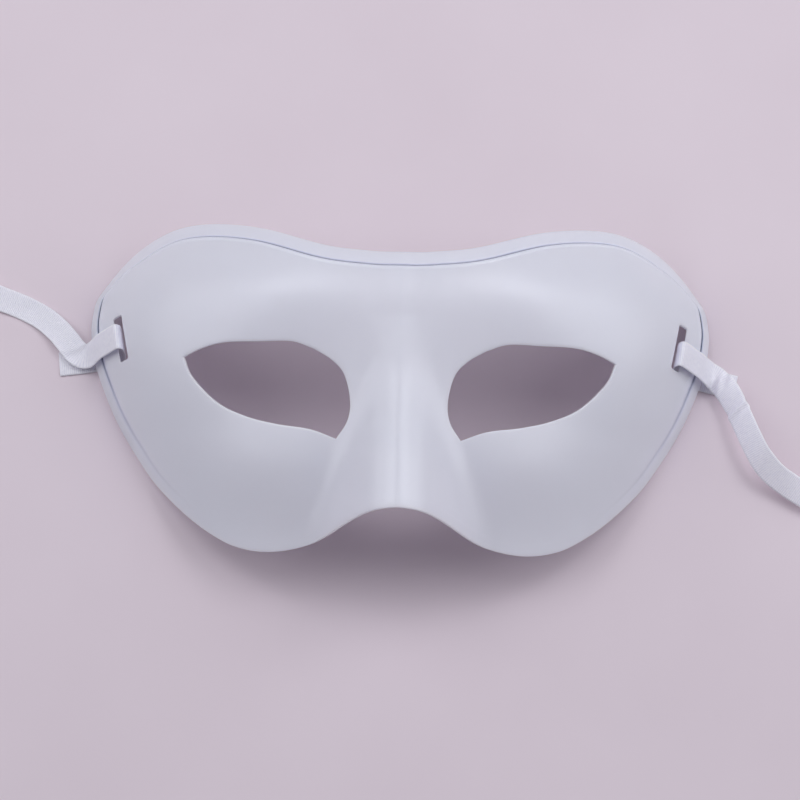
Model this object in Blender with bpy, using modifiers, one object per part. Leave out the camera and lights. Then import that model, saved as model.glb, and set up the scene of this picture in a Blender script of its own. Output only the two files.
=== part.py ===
"""Masquerade half mask, lying face up: one formed plastic shell and two tie ribbons.

The shell is a face-wide arch with brows, eye sockets, cheeks and a nose. It is cut off along a
smooth outline and steps down to a narrow flange round its rim. Each ribbon is looped through a
slot at the temple, round the strip outside the slot, and then runs off over the table.

Metres, +Z up. The side rims rest on Z = 0, +X is the viewer's right and +Y the top of the face.
"""

import math
from collections import namedtuple

import bmesh
import bpy
from mathutils import Vector

MM = 0.001

# Driving sizes of the shell, seen from straight above
MASK_WIDTH = 193.0 * MM
MASK_HEIGHT = 101.0 * MM
SHELL_THICKNESS = 1.0 * MM
CROWN_HEIGHT = 45.0 * MM
NOSE_RISE = 22.5 * MM
NOSE_HALF_WIDTH = 30.0 * MM

# Form of the nose: how full its sides are, how its ridge falls to both sides, and its rounding
NOSE_CROWN_POWER = 2.4
NOSE_FADE_POWER = 3.0
RIDGE_TILT = 0.12
RIDGE_ROUND = 0.6 * MM

# Flange round the rim: a small step down, then a strip as wide as this
FLANGE_TOP_WIDTH = 5.4 * MM
FLANGE_SIDE_WIDTH = 3.3 * MM
FLANGE_STEP = 1.8 * MM
STEP_DRAFT = 0.35 * MM

# The flange widens from its side width over these shares of half the height and half the width
FLANGE_UP_START = -0.10
FLANGE_UP_FADE = 0.50
FLANGE_SIDE_END = 0.99
FLANGE_SIDE_FADE = 0.16

# Tie slots at the temples
SLOT_LENGTH = 14.6 * MM
SLOT_WIDTH = 2.7 * MM
SLOT_EDGE_DISTANCE = 10.3 * MM
SLOT_UP = 16.0 * MM
SLOT_LEAN = math.radians(12.0)
SLOT_CORNER = 0.5 * MM

# Clearance of the rim over the table between its resting places, where a ribbon passes under it
RIM_ARCH = 2.2 * MM

# Ribbons
RIBBON_WIDTH = 7.8 * MM
RIBBON_THICKNESS = 1.0 * MM

# How finely the pieces are divided
UPPER_STEPS = 24
LOWER_STEPS = 26
MIDDLE_STEPS = 12
RING_STEPS = 10
FLANGE_STEPS = 2
RIBBON_STEPS = 3
CURVE_STEPS = 16
OUTLINE_SAMPLE_COUNT = 241
CORNER_STEPS = 2
MERGE_DISTANCE = 0.01 * MM

# Colour and roughness of the two materials
PLASTIC_COLOUR = (0.80, 0.80, 0.86)
PLASTIC_ROUGHNESS = 0.32
SATIN_COLOUR = (0.84, 0.83, 0.88)
SATIN_ROUGHNESS = 0.50

HALF_WIDTH = MASK_WIDTH / 2
HALF_HEIGHT = MASK_HEIGHT / 2

# Share of the arch's round that the shell uses: 1 would make its sides stand upright
ARCH_SHARE = 0.93

# The outline is read as a side only beyond this distance from the middle
SIDE_START = 0.5 * HALF_WIDTH

OutlinePoint = namedtuple("OutlinePoint", "across up")
Section = namedtuple("Section", "up size")
NoseSection = namedtuple("NoseSection", "up rise half_width")
Mound = namedtuple("Mound", "across up rise half_across half_up")
Stop = namedtuple("Stop", "x y z width_x width_y width_z")

# Outer outline of the right half, from the middle of the forehead round to the nose.
# Shares of half the width and half the height.
OUTLINE = [
    OutlinePoint(0.000, 0.711),
    OutlinePoint(0.120, 0.722),
    OutlinePoint(0.248, 0.768),
    OutlinePoint(0.440, 0.911),
    OutlinePoint(0.605, 0.990),
    OutlinePoint(0.724, 1.000),
    OutlinePoint(0.830, 0.937),
    OutlinePoint(0.906, 0.842),
    OutlinePoint(0.955, 0.745),
    OutlinePoint(0.988, 0.670),
    OutlinePoint(1.000, 0.560),
    OutlinePoint(0.999, 0.432),
    OutlinePoint(0.980, 0.236),
    OutlinePoint(0.943, 0.042),
    OutlinePoint(0.895, -0.150),
    OutlinePoint(0.832, -0.347),
    OutlinePoint(0.758, -0.545),
    OutlinePoint(0.652, -0.754),
    OutlinePoint(0.556, -0.895),
    OutlinePoint(0.478, -0.968),
    OutlinePoint(0.383, -1.000),
    OutlinePoint(0.274, -0.975),
    OutlinePoint(0.149, -0.900),
    OutlinePoint(0.080, -0.872),
    OutlinePoint(0.000, -0.864),
]

# Where the outline turns from the brow side to the cheek side, as a share of its length
OUTLINE_TURN = 0.475

# Eye opening of the right half, in the same shares: the upper lid from its inner top to the outer
# corner, the lower lid back to the inner low corner, and the edge beside the nose.
UPPER_LID = [
    OutlinePoint(0.262, 0.118),
    OutlinePoint(0.330, 0.162),
    OutlinePoint(0.433, 0.168),
    OutlinePoint(0.540, 0.174),
    OutlinePoint(0.612, 0.153),
    OutlinePoint(0.668, 0.118),
]
LOWER_LID = [
    OutlinePoint(0.668, 0.118),
    OutlinePoint(0.640, 0.000),
    OutlinePoint(0.560, -0.155),
    OutlinePoint(0.470, -0.245),
    OutlinePoint(0.370, -0.303),
    OutlinePoint(0.270, -0.340),
    OutlinePoint(0.188, -0.400),
]
NOSE_SIDE_LID = [
    OutlinePoint(0.188, -0.400),
    OutlinePoint(0.155, -0.300),
    OutlinePoint(0.148, -0.180),
    OutlinePoint(0.168, -0.030),
    OutlinePoint(0.208, 0.055),
    OutlinePoint(0.262, 0.118),
]

# Height of the arch on the centreline, without the nose, in shares of CROWN_HEIGHT
CROWN = [
    Section(1.050, 0.840),
    Section(0.713, 0.925),
    Section(0.416, 0.985),
    Section(0.119, 1.000),
    Section(-0.079, 0.955),
    Section(-0.277, 0.865),
    Section(-0.475, 0.755),
    Section(-0.673, 0.645),
    Section(-0.871, 0.555),
    Section(-1.050, 0.490),
]

# Half-width at which the arch comes down to the table, in shares of half the width
REACH = [
    Section(1.050, 0.915),
    Section(0.832, 0.960),
    Section(0.673, 0.994),
    Section(0.416, 1.003),
    Section(0.238, 0.983),
    Section(0.040, 0.945),
    Section(-0.158, 0.900),
    Section(-0.347, 0.845),
    Section(-0.545, 0.785),
    Section(-0.752, 0.730),
    Section(-1.050, 0.665),
]

# Height of the side rim over the table, in shares of RIM_ARCH
RIM = [
    Section(0.760, 0.300),
    Section(0.650, 0.000),
    Section(0.560, 0.000),
    Section(0.460, 0.550),
    Section(0.330, 1.000),
    Section(0.200, 0.750),
    Section(0.070, 0.100),
    Section(-0.030, 0.000),
    Section(-0.250, 0.000),
    Section(-0.400, 0.400),
]
RIM_FADE = 0.16
RIM_REACH_POWER = 8

NOSE = [
    NoseSection(0.300, 0.000, 0.420),
    NoseSection(0.200, 0.030, 0.400),
    NoseSection(0.000, 0.100, 0.430),
    NoseSection(-0.200, 0.220, 0.530),
    NoseSection(-0.400, 0.410, 0.680),
    NoseSection(-0.600, 0.660, 0.840),
    NoseSection(-0.800, 0.920, 0.970),
    NoseSection(-0.887, 1.000, 1.000),
    NoseSection(-1.050, 1.080, 1.000),
]

# Soft mounds and hollows on the arch, mirrored to both sides. The rise is a share of CROWN_HEIGHT.
BROW = Mound(0.396, 0.436, 0.058, 0.250, 0.290)
SOCKET = Mound(0.292, 0.000, -0.135, 0.198, 0.257)
NASION = Mound(0.000, 0.200, -0.020, 0.135, 0.198)
CHEEK = Mound(0.375, -0.554, 0.055, 0.177, 0.198)
MOUNDS = [BROW, SOCKET, NASION, CHEEK]

# How the flange's step fades out below the slots, in shares of FLANGE_STEP
STEP_FADE = [
    Section(1.050, 1.000),
    Section(0.400, 1.000),
    Section(0.000, 0.550),
    Section(-0.500, 0.150),
    Section(-0.800, 0.000),
    Section(-1.050, 0.000),
]

# Routes of the ribbons, in millimetres: the tail on the table, in under the rim, up through the
# slot, over the strip outside it, down on the tail and away. Each stop has the direction across
# the ribbon's width.
LEFT_ROUTE = [
    Stop(-106.0, 12.2, 0.60, 0.00, 1.00, 0.00),
    Stop(-100.5, 12.9, 0.60, -0.12, 1.00, 0.00),
    Stop(-95.0, 13.8, 0.70, -0.18, 1.00, 0.00),
    Stop(-90.2, 14.6, 1.50, -0.20, 1.00, 0.00),
    Stop(-86.6, 15.3, 5.00, -0.20, 1.00, 0.00),
    Stop(-85.1, 15.8, 10.00, -0.20, 1.00, 0.00),
    Stop(-84.9, 16.0, 14.60, -0.20, 1.00, 0.00),
    Stop(-85.3, 16.0, 16.60, -0.20, 1.00, 0.00),
    Stop(-86.5, 15.9, 17.40, -0.20, 1.00, 0.00),
    Stop(-88.3, 15.7, 15.50, -0.20, 1.00, 0.00),
    Stop(-90.6, 15.3, 12.70, -0.20, 1.00, 0.00),
    Stop(-92.5, 15.0, 10.30, -0.20, 1.00, 0.00),
    Stop(-94.4, 14.6, 6.90, -0.20, 1.00, 0.00),
    Stop(-96.3, 14.2, 3.80, -0.20, 1.00, 0.00),
    Stop(-98.6, 14.3, 2.50, -0.05, 1.00, 0.00),
    Stop(-101.0, 16.0, 2.20, 0.45, 0.89, 0.00),
    Stop(-103.7, 19.2, 2.20, 0.74, 0.67, 0.00),
    Stop(-107.0, 23.0, 1.60, 0.72, 0.70, 0.00),
    Stop(-111.4, 26.8, 0.90, 0.58, 0.81, 0.00),
    Stop(-116.0, 29.5, 0.70, 0.48, 0.88, 0.00),
    Stop(-120.8, 31.6, 0.80, 0.40, 0.92, 0.00),
    Stop(-125.8, 33.3, 1.30, 0.36, 0.93, 0.08),
    Stop(-129.0, 34.4, 1.90, 0.34, 0.92, 0.16),
    Stop(-131.6, 35.4, 2.40, 0.34, 0.92, 0.20),
]
RIGHT_ROUTE = [
    Stop(104.5, 8.3, 0.60, 0.10, 1.00, 0.00),
    Stop(99.8, 9.5, 0.60, 0.18, 1.00, 0.00),
    Stop(95.0, 10.6, 0.70, 0.22, 1.00, 0.00),
    Stop(90.2, 11.8, 1.50, 0.22, 1.00, 0.00),
    Stop(86.4, 12.8, 5.00, 0.21, 1.00, 0.00),
    Stop(84.8, 13.3, 10.00, 0.21, 1.00, 0.00),
    Stop(84.4, 13.6, 14.80, 0.21, 1.00, 0.00),
    Stop(84.8, 13.6, 16.70, 0.21, 1.00, 0.00),
    Stop(86.0, 13.5, 17.50, 0.21, 1.00, 0.00),
    Stop(87.8, 13.2, 15.60, 0.21, 1.00, 0.00),
    Stop(90.2, 12.7, 12.60, 0.22, 1.00, 0.00),
    Stop(92.2, 12.3, 10.20, 0.24, 1.00, 0.00),
    Stop(94.4, 11.8, 6.80, 0.26, 1.00, 0.00),
    Stop(96.6, 11.0, 4.20, 0.32, 0.95, 0.02),
    Stop(98.8, 9.4, 3.60, 0.50, 0.84, 0.12),
    Stop(101.0, 6.2, 4.80, 0.66, 0.62, 0.40),
    Stop(103.1, 1.4, 6.40, 0.66, 0.45, 0.58),
    Stop(105.2, -4.6, 7.80, 0.64, 0.42, 0.62),
    Stop(107.5, -10.6, 8.40, 0.62, 0.42, 0.62),
    Stop(110.3, -16.0, 7.80, 0.62, 0.48, 0.58),
    Stop(114.1, -20.4, 6.40, 0.60, 0.56, 0.50),
    Stop(118.7, -23.6, 5.10, 0.56, 0.66, 0.42),
    Stop(123.4, -26.4, 4.20, 0.54, 0.72, 0.34),
    Stop(127.8, -28.8, 3.80, 0.52, 0.76, 0.30),
]


def ease(share):
    """Smooth step from 0 to 1."""
    share = min(1.0, max(0.0, share))
    return share * share * (3.0 - 2.0 * share)


def table_value(rows, column, up):
    """Value of one column at a height, on a smooth curve through the rows' values."""
    rows = sorted(rows, key=lambda row: row.up)
    ups = [row.up for row in rows]
    values = [getattr(row, column) for row in rows]
    if up <= ups[0]:
        return values[0]
    if up >= ups[-1]:
        return values[-1]
    index = max(i for i in range(len(ups) - 1) if ups[i] <= up)
    slopes = []
    for i in (index, index + 1):
        before = max(i - 1, 0)
        after = min(i + 1, len(ups) - 1)
        slopes.append((values[after] - values[before]) / (ups[after] - ups[before]))
    span = ups[index + 1] - ups[index]
    t = (up - ups[index]) / span
    start, end = values[index], values[index + 1]
    return (
        (2 * t**3 - 3 * t**2 + 1) * start
        + (t**3 - 2 * t**2 + t) * span * slopes[0]
        + (3 * t**2 - 2 * t**3) * end
        + (t**3 - t**2) * span * slopes[1]
    )


def between(before, start, end, after, share):
    """Value on a smooth curve from start to end, with the values next to them."""
    return 0.5 * (
        2 * start
        + (end - before) * share
        + (2 * before - 5 * start + 4 * end - after) * share**2
        + (3 * start - before - 3 * end + after) * share**3
    )


def smooth_curve(points, count):
    """Evenly spaced points on a smooth curve through the given points."""
    points = [Vector(point) for point in points]
    padded = [2 * points[0] - points[1], *points, 2 * points[-1] - points[-2]]
    fine = []
    for i in range(1, len(padded) - 2):
        for step in range(CURVE_STEPS):
            fine.append(between(*padded[i - 1 : i + 3], step / CURVE_STEPS))
    fine.append(points[-1])
    lengths = [0.0]
    for first, second in zip(fine, fine[1:]):
        lengths.append(lengths[-1] + (second - first).length)
    even = []
    index = 0
    for number in range(count):
        target = lengths[-1] * number / (count - 1)
        while index < len(fine) - 2 and lengths[index + 1] < target:
            index += 1
        span = lengths[index + 1] - lengths[index]
        even.append(fine[index].lerp(fine[index + 1], (target - lengths[index]) / span))
    return even


def plan_point(point):
    """Plan position in metres of a point given in shares."""
    return Vector((point.across * HALF_WIDTH, point.up * HALF_HEIGHT, 0.0))


def arch(across):
    """Share of the crown's height at a share of the arch's reach."""
    low = math.sqrt(1.0 - ARCH_SHARE**2)
    inside = max(0.0, 1.0 - (ARCH_SHARE * across) ** 2)
    return (math.sqrt(inside) - low) / (1.0 - low)


def mound_height(mound, across, up):
    """Height that one mound or hollow adds."""
    along = (up - mound.up) / mound.half_up
    total = 0.0
    for side in {mound.across, -mound.across}:
        sideways = (across - side) / mound.half_across
        total += math.exp(-0.5 * (sideways**2 + along**2))
    return total * mound.rise * CROWN_HEIGHT


def nose_height(x, up):
    """Height that the nose adds."""
    half_width = table_value(NOSE, "half_width", up) * NOSE_HALF_WIDTH
    rise = table_value(NOSE, "rise", up) * NOSE_RISE
    inside = max(0.0, 1.0 - (abs(x) / half_width) ** NOSE_CROWN_POWER)
    roof = math.sqrt(x**2 + RIDGE_ROUND**2) - RIDGE_ROUND
    return (rise - RIDGE_TILT * roof) * inside**NOSE_FADE_POWER


def face_height(x, y):
    """Height of the face surface before its side rim is set down on the table."""
    across = abs(x) / HALF_WIDTH
    up = y / HALF_HEIGHT
    reach = table_value(REACH, "size", up)
    height = arch(across / reach) * table_value(CROWN, "size", up) * CROWN_HEIGHT
    for mound in MOUNDS:
        height += mound_height(mound, across, up)
    return height + nose_height(x, up)


OUTLINE_SAMPLES = smooth_curve([plan_point(point) for point in OUTLINE], OUTLINE_SAMPLE_COUNT)
SIDE_SAMPLES = [point for point in OUTLINE_SAMPLES if point.x > SIDE_START]


def side_reach(y):
    """Half-width of the outline at a height, on its outer side."""
    for above, below in zip(SIDE_SAMPLES, SIDE_SAMPLES[1:]):
        if above.y >= y > below.y:
            share = (above.y - y) / (above.y - below.y)
            return above.x + (below.x - above.x) * share
    return SIDE_SAMPLES[-1].x


def step_height(y):
    """How far the flange lies below the face surface."""
    return table_value(STEP_FADE, "size", y / HALF_HEIGHT) * FLANGE_STEP


def surface_height(x, y):
    """Height of the face surface over the table."""
    up = y / HALF_HEIGHT
    top, bottom = RIM[0].up, RIM[-1].up
    window = ease((top - up) / RIM_FADE) * ease((up - bottom) / RIM_FADE)
    height = face_height(x, y)
    if window <= 0.0:
        return height
    side = side_reach(y)
    wanted = table_value(RIM, "size", up) * RIM_ARCH + step_height(y)
    missing = wanted - face_height(side, y)
    return height + window * missing * min(1.0, abs(x) / side) ** RIM_REACH_POWER


def flange_width(point):
    """Width of the flange in plan beside a point of the outline."""
    upper = ease((point.y / HALF_HEIGHT - FLANGE_UP_START) / FLANGE_UP_FADE)
    inner = ease((FLANGE_SIDE_END - abs(point.x) / HALF_WIDTH) / FLANGE_SIDE_FADE)
    return FLANGE_SIDE_WIDTH + (FLANGE_TOP_WIDTH - FLANGE_SIDE_WIDTH) * upper * inner


def outline_points():
    """Points round the outline of the right half, from the forehead to the nose."""
    length = len(OUTLINE_SAMPLES) - 1
    turn = round(OUTLINE_TURN * length)
    upper = smooth_curve(OUTLINE_SAMPLES[: turn + 1], UPPER_STEPS + 1)
    lower = smooth_curve(OUTLINE_SAMPLES[turn:], LOWER_STEPS + 1)
    return upper + lower[1:]


def inward_normals(points):
    """Unit normals in plan, pointing into the shell."""
    normals = []
    for index in range(len(points)):
        before = points[max(index - 1, 0)]
        after = points[min(index + 1, len(points) - 1)]
        along = (after - before).normalized()
        normals.append(Vector((along.y, -along.x, 0.0)))
    normals[0] = Vector((0.0, -1.0, 0.0))
    normals[-1] = Vector((0.0, 1.0, 0.0))
    return normals


def eye_points():
    """Points round the right eye opening, matched to the points of the outline."""
    upper = smooth_curve([plan_point(point) for point in UPPER_LID], UPPER_STEPS + 1)
    lower = smooth_curve([plan_point(point) for point in LOWER_LID], LOWER_STEPS + 1)
    inner = smooth_curve([plan_point(point) for point in NOSE_SIDE_LID], MIDDLE_STEPS + 1)
    return upper + lower[1:] + inner[1:-1]


def build_half_sheet(mesh):
    """Outer surface of the right half: rings round the eye, then the flange."""
    sheet = bmesh.new()
    outline = outline_points()
    normals = inward_normals(outline)
    crease = [
        point + normal * flange_width(point) for point, normal in zip(outline, normals)
    ]
    middle = [
        crease[-1].lerp(crease[0], step / MIDDLE_STEPS) for step in range(1, MIDDLE_STEPS)
    ]
    eye = eye_points()
    border = crease + middle
    rings = []
    for ring in range(RING_STEPS + 1):
        share = ring / RING_STEPS
        rings.append([inner.lerp(outer, share) for inner, outer in zip(eye, border)])
    face_rows = [
        [sheet.verts.new((p.x, p.y, surface_height(p.x, p.y))) for p in ring] for ring in rings
    ]
    count = len(border)
    for inner_row, outer_row in zip(face_rows, face_rows[1:]):
        for index in range(count):
            after = (index + 1) % count
            sheet.faces.new(
                (inner_row[index], inner_row[after], outer_row[after], outer_row[index])
            )
    flange_rows = [face_rows[-1][: len(outline)]]
    for step in range(FLANGE_STEPS + 1):
        row = []
        for edge, normal in zip(outline, normals):
            foot = edge + normal * (flange_width(edge) - STEP_DRAFT)
            point = foot.lerp(edge, step / FLANGE_STEPS)
            height = surface_height(point.x, point.y) - step_height(point.y)
            row.append(sheet.verts.new((point.x, point.y, height)))
        flange_rows.append(row)
    for inner_row, outer_row in zip(flange_rows, flange_rows[1:]):
        for index in range(len(outline) - 1):
            sheet.faces.new(
                (inner_row[index], inner_row[index + 1], outer_row[index + 1], outer_row[index])
            )
    bmesh.ops.recalc_face_normals(sheet, faces=sheet.faces)
    if sum(face.normal.z for face in sheet.faces) < 0:
        bmesh.ops.reverse_faces(sheet, faces=sheet.faces)
    sheet.to_mesh(mesh)
    sheet.free()


def new_object(name, mesh, collection):
    """Object that holds a mesh, in a collection."""
    result = bpy.data.objects.new(name, mesh)
    collection.objects.link(result)
    return result


def plain_material(name, colour, roughness):
    """Principled material of one colour."""
    material = bpy.data.materials.new(name)
    material.use_nodes = True
    shader = material.node_tree.nodes["Principled BSDF"]
    shader.inputs["Base Color"].default_value = (*colour, 1.0)
    shader.inputs["Roughness"].default_value = roughness
    shader.inputs["Metallic"].default_value = 0.0
    return material


def slot_centre(side):
    """Plan position of a tie slot's middle."""
    reach = side_reach(SLOT_UP)
    return Vector((side * (reach - SLOT_EDGE_DISTANCE), SLOT_UP, 0.0))


def add_slot_cutter(side, collection):
    """Upright block that cuts one tie slot."""
    bpy.ops.mesh.primitive_cube_add(size=1.0)
    cutter = bpy.context.object
    cutter.name = "slot_cutter_right" if side > 0 else "slot_cutter_left"
    for owner in list(cutter.users_collection):
        owner.objects.unlink(cutter)
    collection.objects.link(cutter)
    cutter.data.transform(
        (
            (SLOT_WIDTH, 0.0, 0.0, 0.0),
            (0.0, SLOT_LENGTH, 0.0, 0.0),
            (0.0, 0.0, 2 * CROWN_HEIGHT, 0.0),
            (0.0, 0.0, 0.0, 1.0),
        )
    )
    body = bmesh.new()
    body.from_mesh(cutter.data)
    upright = [
        edge for edge in body.edges if abs((edge.verts[0].co - edge.verts[1].co).z) > SLOT_LENGTH
    ]
    bmesh.ops.bevel(
        body, geom=upright, offset=SLOT_CORNER, segments=CORNER_STEPS, affect="EDGES", profile=0.5
    )
    body.to_mesh(cutter.data)
    body.free()
    cutter.location = slot_centre(side)
    cutter.rotation_euler.z = -side * SLOT_LEAN
    cutter.hide_render = True
    cutter.display_type = "WIRE"
    return cutter


def add_shell(parts, cutters):
    """Mask shell: the half sheet mirrored, thickened, slotted and set down on the table."""
    mesh = bpy.data.meshes.new("mask_shell")
    build_half_sheet(mesh)
    shell = new_object("mask_shell", mesh, parts)
    mirror = shell.modifiers.new("both_halves", "MIRROR")
    mirror.merge_threshold = MERGE_DISTANCE
    thicken = shell.modifiers.new("wall", "SOLIDIFY")
    thicken.thickness = SHELL_THICKNESS
    thicken.offset = -1.0
    thicken.use_even_offset = True
    thicken.use_quality_normals = True
    for side in (-1, 1):
        cut = shell.modifiers.new("tie_slot", "BOOLEAN")
        cut.object = add_slot_cutter(side, cutters)
        cut.operation = "DIFFERENCE"
        cut.solver = "EXACT"
    bpy.context.view_layer.update()
    evaluated = shell.evaluated_get(bpy.context.evaluated_depsgraph_get())
    lowest = min(vertex.co.z for vertex in evaluated.data.vertices)
    shell.location.z = -lowest
    mesh.shade_smooth()
    mesh.materials.append(plain_material("white_plastic", PLASTIC_COLOUR, PLASTIC_ROUGHNESS))
    return shell


def ribbon_rows(route):
    """Left and right edge points along a ribbon, on a smooth curve through its stops."""
    places = [Vector((stop.x, stop.y, stop.z)) * MM for stop in route]
    widths = [Vector((stop.width_x, stop.width_y, stop.width_z)) for stop in route]
    places = [2 * places[0] - places[1], *places, 2 * places[-1] - places[-2]]
    widths = [widths[0], *widths, widths[-1]]
    middles = []
    across = []
    for i in range(1, len(places) - 2):
        for step in range(RIBBON_STEPS):
            share = step / RIBBON_STEPS
            middles.append(between(*places[i - 1 : i + 3], share))
            across.append(between(*widths[i - 1 : i + 3], share))
    middles.append(places[-2])
    across.append(widths[-1])
    rows = []
    for index, (middle, width) in enumerate(zip(middles, across)):
        before = middles[max(index - 1, 0)]
        after = middles[min(index + 1, len(middles) - 1)]
        along = (after - before).normalized()
        width = (width - along * width.dot(along)).normalized() * RIBBON_WIDTH / 2
        rows.append((middle - width, middle + width))
    return rows


def add_ribbon(name, route, parts):
    """Tie ribbon: a flat strip along its route, thickened both ways."""
    strip = bmesh.new()
    rows = [[strip.verts.new(point) for point in row] for row in ribbon_rows(route)]
    for (low, high), (next_low, next_high) in zip(rows, rows[1:]):
        strip.faces.new((low, high, next_high, next_low))
    mesh = bpy.data.meshes.new(name)
    strip.to_mesh(mesh)
    strip.free()
    ribbon = new_object(name, mesh, parts)
    thicken = ribbon.modifiers.new("cloth", "SOLIDIFY")
    thicken.thickness = RIBBON_THICKNESS
    thicken.offset = 0.0
    thicken.use_even_offset = True
    mesh.materials.append(plain_material(name + "_satin", SATIN_COLOUR, SATIN_ROUGHNESS))
    return ribbon


def main():
    for old in list(bpy.data.objects):
        bpy.data.objects.remove(old, do_unlink=True)
    parts = bpy.data.collections.new("half_mask")
    cutters = bpy.data.collections.new("cutters")
    bpy.context.scene.collection.children.link(parts)
    bpy.context.scene.collection.children.link(cutters)
    add_shell(parts, cutters)
    add_ribbon("ribbon_left", LEFT_ROUTE, parts)
    add_ribbon("ribbon_right", RIGHT_ROUTE, parts)


main()
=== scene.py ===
# %% [markdown]
# # A plain half mask with satin ties
#
# The real object is a party mask for the upper half of the face. It is one thin sheet of white
# plastic, formed over a mould and then cut out, with two eye openings and a slot at each temple.
# A white satin ribbon is looped through each slot. Here the mask lies face up on a pale table.
#
# This lesson builds the visible pieces around a fixed frame. The frame holds the plain solids of
# the same object at its real size, in metres, so each piece goes where its solid is.

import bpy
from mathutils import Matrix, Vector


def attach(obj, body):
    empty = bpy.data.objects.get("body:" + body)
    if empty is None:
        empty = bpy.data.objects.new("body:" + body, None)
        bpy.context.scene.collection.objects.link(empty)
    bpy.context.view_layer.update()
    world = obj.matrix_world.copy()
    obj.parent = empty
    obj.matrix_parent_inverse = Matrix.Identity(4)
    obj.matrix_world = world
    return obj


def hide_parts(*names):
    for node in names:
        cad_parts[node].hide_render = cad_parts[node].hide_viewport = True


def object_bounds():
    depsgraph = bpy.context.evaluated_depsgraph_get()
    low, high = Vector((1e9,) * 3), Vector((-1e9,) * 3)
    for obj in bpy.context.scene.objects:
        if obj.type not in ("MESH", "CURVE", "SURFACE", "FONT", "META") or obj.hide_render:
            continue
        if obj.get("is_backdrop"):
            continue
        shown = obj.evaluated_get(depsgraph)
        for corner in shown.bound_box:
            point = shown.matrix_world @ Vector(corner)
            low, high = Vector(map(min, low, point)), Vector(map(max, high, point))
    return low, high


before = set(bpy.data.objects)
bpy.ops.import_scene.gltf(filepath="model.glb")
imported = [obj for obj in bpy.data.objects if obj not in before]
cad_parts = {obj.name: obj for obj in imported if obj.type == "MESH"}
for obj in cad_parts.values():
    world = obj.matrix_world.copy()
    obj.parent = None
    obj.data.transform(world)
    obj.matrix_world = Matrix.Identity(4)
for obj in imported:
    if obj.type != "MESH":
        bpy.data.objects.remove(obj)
cad_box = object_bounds()
print("solids:", ", ".join(sorted(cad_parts)))

# %% Modules and the unit
import math
from collections import namedtuple

import bmesh
import bpy
import numpy as np
from mathutils import Matrix, Vector

MM = 0.001

# %% [markdown]
# ## The camera
#
# The photograph looks steeply down on the mask from below its chin side. A camera is easiest to
# aim with three directions: where it looks, what is right and what is up. A small roll about the
# view direction then tips the picture by one degree, as the photograph is tipped.

# %% Aim the camera
VIEW_ELEVATION = math.radians(73.0)
VIEW_DISTANCE = 620.0 * MM
VIEW_ROLL = math.radians(1.0)
LOOK_AT = Vector((0.3, -3.5, 20.0)) * MM
SENSOR_WIDTH = 36.0
LENS = 92.9


def aim_camera():
    """Camera that looks down on the mask at the photograph's angle."""
    forward = Vector((0.0, math.cos(VIEW_ELEVATION), -math.sin(VIEW_ELEVATION)))
    right = Vector((1.0, 0.0, 0.0))
    up = right.cross(forward)
    rolled_right = right * math.cos(VIEW_ROLL) + up * math.sin(VIEW_ROLL)
    rolled_up = up * math.cos(VIEW_ROLL) - right * math.sin(VIEW_ROLL)
    turn = Matrix((rolled_right, rolled_up, -forward)).transposed()
    camera = bpy.data.objects.new("camera", bpy.data.cameras.new("camera"))
    camera.data.sensor_width = SENSOR_WIDTH
    camera.data.lens = LENS
    camera.matrix_world = Matrix.LocRotScale(LOOK_AT - forward * VIEW_DISTANCE, turn, None)
    bpy.context.scene.collection.objects.link(camera)
    bpy.context.scene.camera = camera
    return camera


camera = aim_camera()
print("camera at", tuple(round(value, 3) for value in camera.location))

# %% [markdown]
# ## Smooth curves through a few points
#
# The ribbons and the mask's outlines are drawn through a few chosen points. A Catmull-Rom curve
# passes through every point, so a point is a promise about where the edge is. The curve is then
# walked in even steps, which keeps the mesh even.

# %% Curve helpers
CURVE_STEPS = 16


def between(before, start, end, after, share):
    """Values on a smooth curve from start to end, with the values next to them."""
    return 0.5 * (
        2 * start
        + (end - before) * share
        + (2 * before - 5 * start + 4 * end - after) * share**2
        + (3 * start - before - 3 * end + after) * share**3
    )


def run_along(points):
    """Distance from the first point to each point of a path."""
    legs = np.linalg.norm(np.diff(points, axis=0), axis=1)
    return np.concatenate([[0.0], np.cumsum(legs)])


def even_curve(points, count, measured):
    """Rows spaced evenly on a smooth curve; its length is measured in the first columns."""
    points = np.asarray(points, float)
    first, last = 2 * points[0] - points[1], 2 * points[-1] - points[-2]
    padded = np.vstack([first, points, last])
    share = np.arange(CURVE_STEPS)[:, None] / CURVE_STEPS
    legs = [between(*padded[i : i + 4], share) for i in range(len(points) - 1)]
    fine = np.vstack([*legs, points[-1:]])
    run = run_along(fine[:, :measured])
    wanted = np.linspace(0.0, run[-1], count)
    return np.column_stack([np.interp(wanted, run, column) for column in fine.T])


def ease(share):
    """Smooth step from 0 to 1."""
    share = np.clip(share, 0.0, 1.0)
    return share * share * (3.0 - 2.0 * share)


# %% [markdown]
# ## The ribbons' routes
#
# Each tie comes from its short tail on the table, in under the rim, up through the slot, over
# the strip of plastic outside the slot, down on its own tail, and away. A stop on the route
# holds the middle of the ribbon, the direction across its width and how far it bows up between
# its edges. Millimetres are easiest to read here.

# %% Stops of the two routes
Stop = namedtuple("Stop", "x y z width_x width_y width_z bow")

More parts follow.
